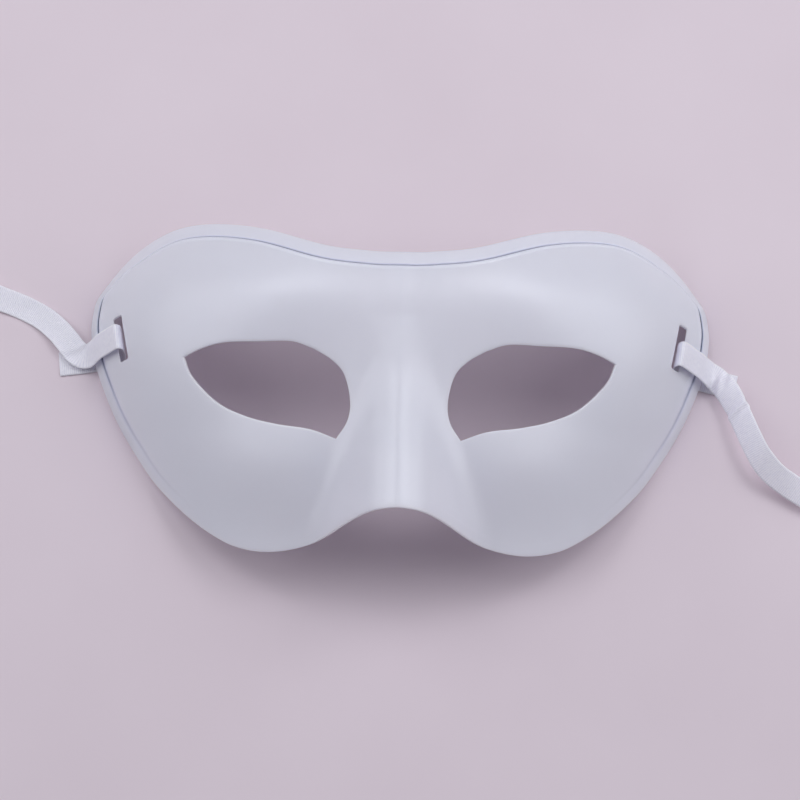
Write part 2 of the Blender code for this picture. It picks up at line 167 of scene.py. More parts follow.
LEFT_ROUTE = [
    Stop(-106.0, 12.2, 0.60, 0.00, 1.00, 0.00, 0.0),
    Stop(-100.5, 12.9, 0.60, -0.12, 1.00, 0.00, 0.0),
    Stop(-95.0, 13.8, 0.70, -0.18, 1.00, 0.00, 0.0),
    Stop(-90.2, 14.6, 1.50, -0.20, 1.00, 0.00, 0.0),
    Stop(-86.6, 15.3, 5.00, -0.20, 1.00, 0.00, 0.0),
    Stop(-85.1, 15.8, 10.00, -0.20, 1.00, 0.00, 0.0),
    Stop(-84.9, 16.0, 14.60, -0.20, 1.00, 0.00, 0.0),
    Stop(-85.3, 16.0, 16.60, -0.20, 1.00, 0.00, 0.0),
    Stop(-86.5, 15.9, 17.40, -0.20, 1.00, 0.00, 0.0),
    Stop(-88.3, 15.7, 15.50, -0.20, 1.00, 0.00, 0.0),
    Stop(-90.6, 15.3, 12.70, -0.20, 1.00, 0.00, 0.0),
    Stop(-92.5, 15.0, 10.30, -0.20, 1.00, 0.00, 0.0),
    Stop(-94.4, 14.6, 6.90, -0.20, 1.00, 0.00, 0.0),
    Stop(-96.3, 14.2, 3.80, -0.20, 1.00, 0.00, 0.1),
    Stop(-98.6, 14.3, 2.50, -0.05, 1.00, 0.00, 0.2),
    Stop(-101.0, 16.0, 2.20, 0.45, 0.89, 0.00, 0.3),
    Stop(-103.7, 19.2, 2.20, 0.74, 0.67, 0.00, 0.4),
    Stop(-107.0, 23.0, 1.60, 0.72, 0.70, 0.00, 0.4),
    Stop(-111.4, 26.8, 0.90, 0.58, 0.81, 0.00, 0.3),
    Stop(-116.0, 29.5, 0.70, 0.48, 0.88, 0.00, 0.2),
    Stop(-120.8, 31.6, 0.80, 0.40, 0.92, 0.00, 0.2),
    Stop(-125.8, 33.3, 1.30, 0.36, 0.93, 0.08, 0.2),
    Stop(-129.0, 34.4, 1.90, 0.34, 0.92, 0.16, 0.2),
    Stop(-131.6, 35.4, 2.40, 0.34, 0.92, 0.20, 0.2),
]
RIGHT_ROUTE = [
    Stop(104.5, 8.3, 0.60, 0.10, 1.00, 0.00, 0.0),
    Stop(99.8, 9.5, 0.60, 0.18, 1.00, 0.00, 0.0),
    Stop(95.0, 10.6, 0.70, 0.22, 1.00, 0.00, 0.0),
    Stop(90.2, 11.8, 1.50, 0.22, 1.00, 0.00, 0.0),
    Stop(86.4, 12.8, 5.00, 0.21, 1.00, 0.00, 0.0),
    Stop(84.8, 13.3, 10.00, 0.21, 1.00, 0.00, 0.0),
    Stop(84.4, 13.6, 14.80, 0.21, 1.00, 0.00, 0.0),
    Stop(84.8, 13.6, 16.70, 0.21, 1.00, 0.00, 0.0),
    Stop(86.0, 13.5, 17.50, 0.21, 1.00, 0.00, 0.0),
    Stop(87.8, 13.2, 15.60, 0.21, 1.00, 0.00, 0.0),
    Stop(90.2, 12.7, 12.60, 0.22, 1.00, 0.00, 0.0),
    Stop(92.2, 12.3, 10.20, 0.24, 1.00, 0.00, 0.0),
    Stop(94.4, 11.8, 6.80, 0.26, 1.00, 0.00, 0.1),
    Stop(96.6, 11.0, 4.20, 0.32, 0.95, 0.02, 0.3),
    Stop(98.8, 9.4, 3.60, 0.50, 0.84, 0.12, 0.5),
    Stop(101.0, 6.2, 4.80, 0.66, 0.62, 0.40, 0.5),
    Stop(103.1, 1.4, 6.40, 0.66, 0.45, 0.58, 0.3),
    Stop(105.2, -4.6, 7.80, 0.64, 0.42, 0.62, 0.2),
    Stop(107.5, -10.6, 8.40, 0.62, 0.42, 0.62, 0.2),
    Stop(110.3, -16.0, 7.80, 0.62, 0.48, 0.58, 0.2),
    Stop(114.1, -20.4, 6.40, 0.60, 0.56, 0.50, 0.2),
    Stop(118.7, -23.6, 5.10, 0.56, 0.66, 0.42, 0.2),
    Stop(123.4, -26.4, 4.20, 0.54, 0.72, 0.34, 0.2),
    Stop(127.8, -28.8, 3.80, 0.52, 0.76, 0.30, 0.2),
]

# %% [markdown]
# ## Crumples in the loose cloth
#
# Past its slot each ribbon keeps a few soft folds, as limp satin does once it was bent. A cloth
# simulation would make folds too, but not at these places, so a crumple is a short wave that fades
# out to both sides. The table gives the stop that it lies near, its reach and height in
# millimetres, by how many waves it slants from the middle to an edge, and its pitch in millimetres.

# %% Crumples of the two ribbons
Crumple = namedtuple("Crumple", "stop reach height across_waves pitch")

LEFT_CRUMPLES = [
    Crumple(14.6, 3.0, 0.30, 0.35, 6.0),
    Crumple(19.0, 7.0, 0.16, 0.20, 17.0),
]
RIGHT_CRUMPLES = [
    Crumple(14.3, 2.4, 0.75, 0.75, 4.2),
    Crumple(16.4, 1.7, 0.60, 0.30, 5.0),
    Crumple(19.0, 6.0, 0.20, 0.25, 15.0),
]
print("crumples:", len(LEFT_CRUMPLES), "left,", len(RIGHT_CRUMPLES), "right")

# %% [markdown]
# ## The ribbons' cloth
#
# The cloth is a narrow satin with fine cross ribs and a slightly thicker woven edge. The ribs are
# real geometry here: each rib rises six hundredths of a millimetre on both sides, so the sheen
# breaks up on them as it does on the cloth. The strip is a loft, a ring of points at each station,
# because it twists and no modifier would twist it so.

# %% Sizes of the cloth
RIBBON_WIDTH = 7.8 * MM
CLOTH_THICKNESS = 0.34 * MM
RIB_PITCH = 0.60 * MM
RIB_HEIGHT = 0.06 * MM
STATIONS_PER_RIB = 6
ACROSS_STEPS = 14
LENGTH_SAMPLES = 400
EDGE_BEAD = 0.05 * MM
EDGE_SHARE = 0.90

# A solid of the frame is thicker than the cloth, so on the table the cloth lies this much lower
TABLE_SINK = 0.20 * MM
TABLE_LEVEL = 0.6 * MM
TABLE_FADE = 2.0 * MM


def ribbon_stations(route):
    """Places, across directions and bows at even stations along a ribbon."""
    rows = np.array(route, float)
    rows[:, :3] *= MM
    rows[:, 6] *= MM
    length = run_along(even_curve(rows, LENGTH_SAMPLES, 3)[:, :3])[-1]
    count = int(length / RIB_PITCH * STATIONS_PER_RIB) + 1
    rows = even_curve(rows, count, 3)
    middle, across, bow = rows[:, :3], rows[:, 3:6], rows[:, 6]
    middle[:, 2] -= TABLE_SINK * (1.0 - ease((middle[:, 2] - TABLE_LEVEL) / TABLE_FADE))
    along = np.gradient(middle, axis=0)
    along /= np.linalg.norm(along, axis=1, keepdims=True)
    across = across - along * np.sum(across * along, axis=1, keepdims=True)
    across /= np.linalg.norm(across, axis=1, keepdims=True)
    return middle, across, np.cross(along, across), bow


def crumple_lift(route, crumples, run, share):
    """Height of the crumples at each station and each place across the cloth."""
    stops = run_along(np.array(route, float)[:, :3] * MM)
    stops *= run[-1] / stops[-1]
    total = np.zeros((len(run), len(share)))
    for crumple in crumples:
        away = run - np.interp(crumple.stop, np.arange(len(route)), stops)
        envelope = np.exp(-((away / (crumple.reach * MM)) ** 2))
        turns = away[:, None] / (crumple.pitch * MM) + share[None, :] * crumple.across_waves
        total += crumple.height * MM * envelope[:, None] * np.cos(2.0 * math.pi * turns)
    return total


def rib_wave(run):
    """Share of a rib's height at a distance along the ribbon."""
    return 0.5 + 0.5 * np.cos(2.0 * math.pi * run / RIB_PITCH)


# %% Loft a ribbon
def ribbon_rings(route, crumples):
    """Rings of points round the cloth, one at each station, and each point's place on it."""
    middle, across, face, bow = ribbon_stations(route)
    run = run_along(middle)
    share = np.linspace(-1.0, 1.0, ACROSS_STEPS + 1)
    bead = ease((np.abs(share) - EDGE_SHARE) / (1.0 - EDGE_SHARE))
    rings = []
    places = []
    for side in (1.0, -1.0):
        order = share if side > 0 else share[::-1]
        thick = CLOTH_THICKNESS / 2 + EDGE_BEAD * bead[None, :]
        ribs = RIB_HEIGHT * rib_wave(run)[:, None] * (1.0 - bead[None, :])
        lift = side * (thick + ribs - RIB_HEIGHT / 2) + bow[:, None] * (1.0 - order**2)
        lift += crumple_lift(route, crumples, run, order)
        ring = middle[:, None, :] + across[:, None, :] * order[None, :, None] * RIBBON_WIDTH / 2
        rings.append(ring + face[:, None, :] * lift[:, :, None])
        place = np.zeros(rings[-1].shape)
        place[:, :, 0] = run[:, None]
        place[:, :, 1] = order[None, :] * RIBBON_WIDTH / 2
        place[:, :, 2] = side
        places.append(place)
    return np.concatenate(rings, axis=1), np.concatenate(places, axis=1), middle


def loft_ribbon(name, route, crumples):
    """Mesh of one ribbon, closed at both cut ends, with its centreline."""
    rings, places, middle = ribbon_rings(route, crumples)
    cloth = bmesh.new()
    on_cloth = cloth.verts.layers.float_vector.new("on_cloth")
    rows = []
    for ring, place_row in zip(rings, places):
        row = [cloth.verts.new(point) for point in ring]
        for vertex, place in zip(row, place_row):
            vertex[on_cloth] = place
        rows.append(row)
    count = len(rows[0])
    for row, after in zip(rows, rows[1:]):
        for index in range(count):
            follow = (index + 1) % count
            cloth.faces.new((row[index], row[follow], after[follow], after[index]))
    for row in (rows[0], rows[-1]):
        for index in range(ACROSS_STEPS):
            mate = count - 1 - index
            cloth.faces.new((row[index], row[index + 1], row[mate - 1], row[mate]))
    bmesh.ops.recalc_face_normals(cloth, faces=cloth.faces)
    mesh = bpy.data.meshes.new(name)
    cloth.to_mesh(mesh)
    cloth.free()
    mesh.shade_smooth()
    piece = bpy.data.objects.new(name, mesh)
    bpy.context.scene.collection.objects.link(piece)
    return piece, middle


# %% [markdown]
#
# A ribbon is a free cord of the length that the photograph shows, from the cut end of its tail to
# the edge of the picture. It leaves the object at its slot.


def tie_ribbon(name, node, route, crumples):
    """One tie ribbon in place of its plain solid."""
    piece, middle = loft_ribbon(name, route, crumples)
    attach(piece, "root")
    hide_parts(node)
    return piece


left_tie = tie_ribbon("satin_tie_left", "ribbon_left", LEFT_ROUTE, LEFT_CRUMPLES)
right_tie = tie_ribbon("satin_tie_right", "ribbon_right", RIGHT_ROUTE, RIGHT_CRUMPLES)

# %% [markdown]
# ## The mask's outlines
#
# Seen from above, the mask is an outline with two eye openings. Its right half is enough, because
# the mould was the same on both sides. The points are shares of half the width and half the
# height, so the drawing keeps its character at any size.

# %% Outline and eye opening
MASK_WIDTH = 193.0 * MM
MASK_HEIGHT = 101.0 * MM
HALF_WIDTH = MASK_WIDTH / 2
HALF_HEIGHT = MASK_HEIGHT / 2

OutlinePoint = namedtuple("OutlinePoint", "across up")

OUTLINE = [
    OutlinePoint(0.000, 0.711),
    OutlinePoint(0.120, 0.722),
    OutlinePoint(0.248, 0.768),
    OutlinePoint(0.440, 0.911),
    OutlinePoint(0.605, 0.990),
    OutlinePoint(0.724, 1.000),
    OutlinePoint(0.830, 0.937),
    OutlinePoint(0.906, 0.842),
    OutlinePoint(0.955, 0.745),
    OutlinePoint(0.988, 0.670),
    OutlinePoint(1.000, 0.560),
    OutlinePoint(0.999, 0.432),
    OutlinePoint(0.980, 0.236),
    OutlinePoint(0.943, 0.042),
    OutlinePoint(0.895, -0.150),
    OutlinePoint(0.832, -0.347),
    OutlinePoint(0.758, -0.545),
    OutlinePoint(0.652, -0.754),
    OutlinePoint(0.556, -0.895),
    OutlinePoint(0.478, -0.968),
    OutlinePoint(0.383, -1.000),
    OutlinePoint(0.274, -0.975),
    OutlinePoint(0.149, -0.900),
    OutlinePoint(0.080, -0.872),
    OutlinePoint(0.000, -0.864),
]
UPPER_LID = [
    OutlinePoint(0.262, 0.118),
    OutlinePoint(0.330, 0.162),
    OutlinePoint(0.433, 0.168),
    OutlinePoint(0.540, 0.174),
    OutlinePoint(0.612, 0.153),
    OutlinePoint(0.668, 0.118),
]
LOWER_LID = [
    OutlinePoint(0.668, 0.118),
    OutlinePoint(0.640, 0.000),
    OutlinePoint(0.560, -0.155),
    OutlinePoint(0.470, -0.245),
    OutlinePoint(0.370, -0.303),
    OutlinePoint(0.270, -0.340),
    OutlinePoint(0.188, -0.400),
]
NOSE_SIDE_LID = [
    OutlinePoint(0.188, -0.400),
    OutlinePoint(0.155, -0.300),
    OutlinePoint(0.148, -0.180),
    OutlinePoint(0.168, -0.030),
    OutlinePoint(0.208, 0.055),
    OutlinePoint(0.262, 0.118),
]

# %% [markdown]
# ## The face as a height over the table
#
# A formed sheet has no undercuts, so its whole outer surface is one height for each point of the
# plan. The height is an arch from temple to temple, plus soft mounds for brows and cheeks, minus
# hollows for the eye sockets, plus the nose. Each is a short table of sections, top to bottom.

# %% Tables of the face
CROWN_HEIGHT = 45.0 * MM
NOSE_RISE = 22.5 * MM
NOSE_HALF_WIDTH = 30.0 * MM
NOSE_CROWN_POWER = 2.4
NOSE_FADE_POWER = 3.0
RIDGE_TILT = 0.12
RIDGE_ROUND = 0.6 * MM
ARCH_SHARE = 0.93
RIM_ARCH = 2.2 * MM
RIM_FADE = 0.16
RIM_REACH_POWER = 8
FLANGE_STEP = 1.8 * MM

Section = namedtuple("Section", "up size")
NoseSection = namedtuple("NoseSection", "up rise half_width")
Mound = namedtuple("Mound", "across up rise half_across half_up")

CROWN = [
    Section(1.050, 0.840),
    Section(0.713, 0.925),
    Section(0.416, 0.985),
    Section(0.119, 1.000),
    Section(-0.079, 0.955),
    Section(-0.277, 0.865),
    Section(-0.475, 0.755),
    Section(-0.673, 0.645),
    Section(-0.871, 0.555),
    Section(-1.050, 0.490),
]
REACH = [
    Section(1.050, 0.915),
    Section(0.832, 0.960),
    Section(0.673, 0.994),
    Section(0.416, 1.003),
    Section(0.238, 0.983),
    Section(0.040, 0.945),
    Section(-0.158, 0.900),
    Section(-0.347, 0.845),
    Section(-0.545, 0.785),
    Section(-0.752, 0.730),
    Section(-1.050, 0.665),
]
RIM = [
    Section(0.760, 0.300),
    Section(0.650, 0.000),
    Section(0.560, 0.000),
    Section(0.460, 0.550),
    Section(0.330, 1.000),
    Section(0.200, 0.750),
    Section(0.070, 0.100),
    Section(-0.030, 0.000),
    Section(-0.250, 0.000),
    Section(-0.400, 0.400),
]
NOSE = [
    NoseSection(0.300, 0.000, 0.420),
    NoseSection(0.200, 0.030, 0.400),
    NoseSection(0.000, 0.100, 0.430),
    NoseSection(-0.200, 0.220, 0.530),
    NoseSection(-0.400, 0.410, 0.680),
    NoseSection(-0.600, 0.660, 0.840),
    NoseSection(-0.800, 0.920, 0.970),
    NoseSection(-0.887, 1.000, 1.000),
    NoseSection(-1.050, 1.080, 1.000),
]
STEP_FADE = [
    Section(1.050, 1.000),
    Section(0.400, 1.000),
    Section(0.000, 0.550),
    Section(-0.500, 0.150),
    Section(-0.800, 0.000),
    Section(-1.050, 0.000),
]
BROW = Mound(0.396, 0.436, 0.058, 0.250, 0.290)
SOCKET = Mound(0.292, 0.000, -0.135, 0.198, 0.257)
NASION = Mound(0.000, 0.200, -0.020, 0.135, 0.198)
CHEEK = Mound(0.375, -0.554, 0.055, 0.177, 0.198)
MOUNDS = [BROW, SOCKET, NASION, CHEEK]


# %% Height of the face
def table_curve(rows, column, up):
    """Values of one column at many heights, on a smooth curve through the rows' values."""
    rows = sorted(rows, key=lambda row: row.up)
    ups = np.array([row.up for row in rows])
    values = np.array([getattr(row, column) for row in rows])
    low = np.maximum(np.arange(len(ups)) - 1, 0)
    high = np.minimum(np.arange(len(ups)) + 1, len(ups) - 1)
    slopes = (values[high] - values[low]) / (ups[high] - ups[low])
    index = np.clip(np.searchsorted(ups, up, side="right") - 1, 0, len(ups) - 2)
    span = ups[index + 1] - ups[index]
    t = np.clip((up - ups[index]) / span, 0.0, 1.0)
    return (
        (2 * t**3 - 3 * t**2 + 1) * values[index]
        + (t**3 - 2 * t**2 + t) * span * slopes[index]
        + (3 * t**2 - 2 * t**3) * values[index + 1]
        + (t**3 - t**2) * span * slopes[index + 1]
    )


def arch(across):
    """Share of the crown's height at a share of the arch's reach."""
    low = math.sqrt(1.0 - ARCH_SHARE**2)
    inside = np.maximum(0.0, 1.0 - (ARCH_SHARE * across) ** 2)
    return (np.sqrt(inside) - low) / (1.0 - low)


def mound_height(mound, across, up):
    """Height that one mound or hollow adds, on both sides of the face."""
    along = (up - mound.up) / mound.half_up
    total = 0.0
    for side in {mound.across, -mound.across}:
        sideways = (across - side) / mound.half_across
        total = total + np.exp(-0.5 * (sideways**2 + along**2))
    return total * mound.rise * CROWN_HEIGHT


def nose_height(x, up):
    """Height that the nose adds."""
    half_width = table_curve(NOSE, "half_width", up) * NOSE_HALF_WIDTH
    rise = table_curve(NOSE, "rise", up) * NOSE_RISE
    inside = np.maximum(0.0, 1.0 - (np.abs(x) / half_width) ** NOSE_CROWN_POWER)
    roof = np.sqrt(x**2 + RIDGE_ROUND**2) - RIDGE_ROUND
    return (rise - RIDGE_TILT * roof) * inside**NOSE_FADE_POWER


def face_height(x, y):
    """Height of the face before its side rim is set down on the table."""
    across = np.abs(x) / HALF_WIDTH
    up = y / HALF_HEIGHT
    reach = table_curve(REACH, "size", up)
    height = arch(across / reach) * table_curve(CROWN, "size", up) * CROWN_HEIGHT
    for mound in MOUNDS:
        height = height + mound_height(mound, across, up)
    return height + nose_height(x, up)


# %% [markdown]
# ## The rim comes down to the table
#
# The sides of the mask rest on the table, and the rim lifts a little between its resting places,
# which lets the ribbon pass under it. The height near the rim is therefore corrected, more and
# more towards the edge, until the edge has the height that a small table asks for.

# %% Height over the table
OUTLINE_SAMPLE_COUNT = 241


def plan(points):
    """Plan positions in metres of points given in shares."""
    return np.array([(point.across * HALF_WIDTH, point.up * HALF_HEIGHT) for point in points])


outline_samples = even_curve(plan(OUTLINE), OUTLINE_SAMPLE_COUNT, 2)
side_samples = outline_samples[np.argmax(outline_samples[:, 1]) :]
side_samples = side_samples[side_samples[:, 0] > HALF_WIDTH / 2]


def side_reach(y):
    """Half-width of the outline at a height, on its outer side."""
    return np.interp(y, side_samples[::-1, 1], side_samples[::-1, 0])


def step_height(y):
    """How far the flange lies below the face."""
    return table_curve(STEP_FADE, "size", y / HALF_HEIGHT) * FLANGE_STEP


def surface_height(x, y):
    """Height of the face over the table, without the flange's step."""
    up = y / HALF_HEIGHT
    window = ease((RIM[0].up - up) / RIM_FADE) * ease((up - RIM[-1].up) / RIM_FADE)
    height = face_height(x, y)
    side = side_reach(y)
    missing = table_curve(RIM, "size", up) * RIM_ARCH + step_height(y) - face_height(side, y)
    return height + window * missing * np.minimum(1.0, np.abs(x) / side) ** RIM_REACH_POWER


# %% [markdown]
# ## Rings from the eye to the rim
#
# A good flow of faces on a mask runs in rings round each eye, as a face's muscles do. The first
# ring is the edge of the opening, the last lies just inside the flange. Outside it come rows that
# run over the rounded step and across the flange to the cut edge.

# %% Plan of the right half
UPPER_STEPS = 120
LOWER_STEPS = 130
MIDDLE_STEPS = 60
RING_STEPS = 36
OUTLINE_TURN = 0.475

FLANGE_TOP_WIDTH = 5.4 * MM
FLANGE_SIDE_WIDTH = 3.3 * MM
FLANGE_UP_START = -0.10
FLANGE_UP_FADE = 0.50
FLANGE_SIDE_END = 0.99
FLANGE_SIDE_FADE = 0.16


def outline_points():
    """Points round the outline, from the forehead to the nose."""
    turn = round(OUTLINE_TURN * (OUTLINE_SAMPLE_COUNT - 1))
    upper = even_curve(outline_samples[: turn + 1], UPPER_STEPS + 1, 2)
    lower = even_curve(outline_samples[turn:], LOWER_STEPS + 1, 2)
    return np.vstack([upper, lower[1:]])


def inward_normals(points):
    """Unit normals in plan that point into the sheet."""
    along = np.gradient(points, axis=0)
    along /= np.linalg.norm(along, axis=1, keepdims=True)
    normals = np.column_stack([along[:, 1], -along[:, 0]])
    normals[0] = (0.0, -1.0)
    normals[-1] = (0.0, 1.0)
    return normals


def eye_points():
    """Points round the eye opening, matched to the points of the border."""
    upper = even_curve(plan(UPPER_LID), UPPER_STEPS + 1, 2)
    lower = even_curve(plan(LOWER_LID), LOWER_STEPS + 1, 2)
    inner = even_curve(plan(NOSE_SIDE_LID), MIDDLE_STEPS + 1, 2)
    return np.vstack([upper, lower[1:], inner[1:-1]])


def flange_width(points):
    """Width of the flange in plan beside points of the outline."""
    upper = ease((points[:, 1] / HALF_HEIGHT - FLANGE_UP_START) / FLANGE_UP_FADE)
    inner = ease((FLANGE_SIDE_END - points[:, 0] / HALF_WIDTH) / FLANGE_SIDE_FADE)
    return FLANGE_SIDE_WIDTH + (FLANGE_TOP_WIDTH - FLANGE_SIDE_WIDTH) * upper * inner


outline = outline_points()
normals = inward_normals(outline)
widths = flange_width(outline)
print(f"flange {widths.min() / MM:.1f} to {widths.max() / MM:.1f} mm wide")

# %% [markdown]
# ## Walls of an even thickness, and the fold
#
# The sheet is a millimetre thick. A Solidify modifier would fold the inner side over itself at
# the small radius of the step, so the inner side is worked out instead: each point of the smooth
# face goes down along its normal, and the step is taken a little further in. On the real mask the
# step ends in a sharp fold that reads as a thin dark line, with a thin bright lip beside it. A
# painted line wouldn't catch the light, so both are modelled: a narrow groove at the foot of the
# step and a low ridge at its head. The groove's share is also kept on the mesh, where the plastic's
# colour gets painted shade to make the line darker.

# %% Outer and inner side
WALL = 1.0 * MM
STEP_MIDDLE = 0.175 * MM
STEP_ROUND = 0.42 * MM
STEP_SHIFT = 0.5 * MM
STEP_START = 1.6 * MM
FOLD_MIDDLE = -0.66 * MM
FOLD_HALF_WIDTH = 0.38 * MM
FOLD_DEPTH = 0.60 * MM
LIP_MIDDLE = 0.75 * MM
LIP_HALF_WIDTH = 0.36 * MM
LIP_HEIGHT = 0.14 * MM
STEP_ROWS = 22
FLANGE_ROWS = 7
PROBE = 0.2 * MM
FAR_INSIDE = 1.0


def drop_share(from_crease):
    """Share of the step that is down, at a distance inside (+) or outside (-) of the crease."""
    return ease((STEP_ROUND - STEP_MIDDLE - from_crease) / (2 * STEP_ROUND))


def fold_share(y, from_crease):
    """Depth of the sharp fold at the foot of the step, as a share of its full depth."""
    from_fold = (from_crease - FOLD_MIDDLE) / FOLD_HALF_WIDTH
    return np.exp(-(from_fold**2)) * step_height(y) / FLANGE_STEP


def lip_share(y, from_crease):
    """Height of the thin raised lip at the head of the step, as a share of its full height."""
    from_lip = (from_crease - LIP_MIDDLE) / LIP_HALF_WIDTH
    return np.exp(-(from_lip**2)) * step_height(y) / FLANGE_STEP


def sheet_sides(x, y, from_crease):
    """Outer and inner points of the sheet over plan points."""
    height = surface_height(x, y)
    slope_x = (surface_height(x + PROBE, y) - surface_height(x - PROBE, y)) / (2 * PROBE)
    slope_y = (surface_height(x, y + PROBE) - surface_height(x, y - PROBE)) / (2 * PROBE)
    normal = np.stack([-slope_x, -slope_y, np.ones_like(x)], axis=-1)
    normal /= np.linalg.norm(normal, axis=-1, keepdims=True)
    surface = np.stack([x, y, height], axis=-1)
    outer = surface.copy()
    inner = surface - normal * WALL
    outer[..., 2] -= step_height(y) * drop_share(from_crease)
    outer[..., 2] -= FOLD_DEPTH * fold_share(y, from_crease)
    outer[..., 2] += LIP_HEIGHT * lip_share(y, from_crease)
    inner[..., 2] -= step_height(y) * drop_share(from_crease - STEP_SHIFT)
    return outer, inner


# %% Grids of the face and of the rim
def face_grid():
    """Rings from the eye opening to the start of the step: outer and inner points."""
    edge = outline + normals * (widths + STEP_START)[:, None]
    share = np.linspace(0.0, 1.0, MIDDLE_STEPS + 1)[1:-1, None]
    middle = edge[-1] * (1.0 - share) + edge[0] * share
    border = np.vstack([edge, middle])
    ring = np.linspace(0.0, 1.0, RING_STEPS + 1)[:, None, None]
    grid = eye_points()[None] * (1.0 - ring) + border[None] * ring
    return sheet_sides(grid[..., 0], grid[..., 1], np.full(grid.shape[:2], FAR_INSIDE))


def rim_grid():
    """Rows over the rounded step and across the flange, and each point's share of the fold."""
    over_step = np.linspace(STEP_START, -STEP_START, STEP_ROWS + 1)
    rows = [widths + distance for distance in over_step]
    for step in range(1, FLANGE_ROWS + 1):
        rows.append((widths - STEP_START) * (1.0 - step / FLANGE_ROWS))
    inside = np.array(rows)
    grid = outline[None] + normals[None] * inside[..., None]
    from_crease = inside - widths[None]
    sides = sheet_sides(grid[..., 0], grid[..., 1], from_crease)
    return sides, fold_share(grid[..., 1], from_crease)


# %% Sew the sheet
EDGE_ROUND = 0.22 * MM
EDGE_SEGMENTS = 3
SHARP_EDGE = math.radians(50.0)
MERGE_DISTANCE = 0.01 * MM


def add_rows(sheet, points, inside, fold=None, first_row=None):
    """Vertices for a grid of points, marked as inner or not and with their share of the fold."""
    inside_layer = sheet.verts.layers.float["inside"]
    fold_layer = sheet.verts.layers.float["fold"]
    rows = [] if first_row is None else [first_row]
    for index in range(len(rows), len(points)):
        row = [sheet.verts.new(point) for point in points[index]]
        for vertex in row:
            vertex[inside_layer] = inside
        if fold is not None:
            for vertex, share in zip(row, fold[index]):
                vertex[fold_layer] = share
        rows.append(row)
    return rows


def add_quads(sheet, rows, closed):
    """Quads between neighbouring rows."""
    for row, after in zip(rows, rows[1:]):
        count = len(row) if closed else len(row) - 1
        for index in range(count):
            follow = (index + 1) % len(row)
            sheet.faces.new((row[index], row[follow], after[follow], after[index]))


def sew_half(sheet):
    """Right half of the mask: both sides of the sheet and its cut edges."""
    face, rim, fold = face_grid(), *rim_grid()
    sides = []
    for side in (0, 1):
        face_rows = add_rows(sheet, face[side], float(side))
        first = face_rows[-1][: len(outline)]
        rim_rows = add_rows(sheet, rim[side], float(side), None if side else fold, first)
        add_quads(sheet, face_rows, True)
        add_quads(sheet, rim_rows, False)
        sides.append((face_rows[0], rim_rows[-1]))
    add_quads(sheet, [sides[0][0], sides[1][0]], True)
    add_quads(sheet, [sides[0][1], sides[1][1]], False)


def build_sheet():
    """Mesh of the whole mask without its slots, set down on the table."""
    sheet = bmesh.new()
    sheet.verts.layers.float.new("inside")
    sheet.verts.layers.float.new("fold")
    sew_half(sheet)
    everything = sheet.verts[:] + sheet.edges[:] + sheet.faces[:]
    bmesh.ops.mirror(sheet, geom=everything, axis="X", merge_dist=MERGE_DISTANCE)
    bmesh.ops.recalc_face_normals(sheet, faces=sheet.faces)
    lowest = min(vertex.co.z for vertex in sheet.verts)
    bmesh.ops.translate(sheet, verts=sheet.verts, vec=(0.0, 0.0, -lowest))
    edges = [edge for edge in sheet.edges if edge.calc_face_angle(0.0) > SHARP_EDGE]
    bmesh.ops.bevel(
        sheet,
        geom=edges,
        offset=EDGE_ROUND,
        segments=EDGE_SEGMENTS,
        profile=0.5,
        affect="EDGES",
        clamp_overlap=True,
    )
    mesh = bpy.data.meshes.new("mask")
    sheet.to_mesh(mesh)
    sheet.free()
    print(f"sheet: {len(mesh.polygons)} faces, lifted {-lowest / MM:.2f} mm")
    return mesh


mask_sheet = build_sheet()

# %% [markdown]
# ## The tie slots
#
# After forming, a punch cuts one slot at each temple. A Boolean modifier does the same with an
# upright block. Its result is baked into a new mesh, so that sharp edges can be marked by their
# angle and the smooth face stays smooth.

# %% Punch the slots
SLOT_LENGTH = 14.6 * MM
SLOT_WIDTH = 2.7 * MM
SLOT_EDGE_DISTANCE = 10.3 * MM
SLOT_UP = 16.0 * MM
SLOT_LEAN = math.radians(12.0)
SLOT_CORNER = 0.5 * MM
SLOT_CORNER_STEPS = 4
PUNCH_LENGTH = 90.0 * MM
SMOOTH_BELOW = math.radians(40.0)


def slot_punch(side):
    """Upright block with rounded edges that cuts one slot."""
    block = bmesh.new()
    size = Matrix.Diagonal((SLOT_WIDTH, SLOT_LENGTH, PUNCH_LENGTH, 1.0))
    bmesh.ops.create_cube(block, size=1.0, matrix=size)
    upright = [edge for edge in block.edges if edge.calc_length() > PUNCH_LENGTH / 2]
    bmesh.ops.bevel(
        block,
        geom=upright,
        offset=SLOT_CORNER,
        segments=SLOT_CORNER_STEPS,
        profile=0.5,
        affect="EDGES",
    )
    mesh = bpy.data.meshes.new("slot_punch")
    block.to_mesh(mesh)
    block.free()
    punch = bpy.data.objects.new("slot_punch", mesh)
    reach = float(side_reach(SLOT_UP)) - SLOT_EDGE_DISTANCE
    punch.location = (side * reach, SLOT_UP, 0.0)
    punch.rotation_euler.z = -side * SLOT_LEAN
    bpy.context.scene.collection.objects.link(punch)
    return punch


def punch_out(mesh, punches):
    """New mesh of the sheet after the punches have cut it."""
    blank = bpy.data.objects.new("blank", mesh)
    bpy.context.scene.collection.objects.link(blank)
    for punch in punches:
        cut = blank.modifiers.new("slot", "BOOLEAN")
        cut.object = punch
        cut.operation = "DIFFERENCE"
        cut.solver = "EXACT"
    bpy.context.view_layer.update()
    evaluated = blank.evaluated_get(bpy.context.evaluated_depsgraph_get())
    result = bpy.data.meshes.new_from_object(evaluated)
    for used in [blank, *punches]:
        bpy.data.objects.remove(used)
    return result


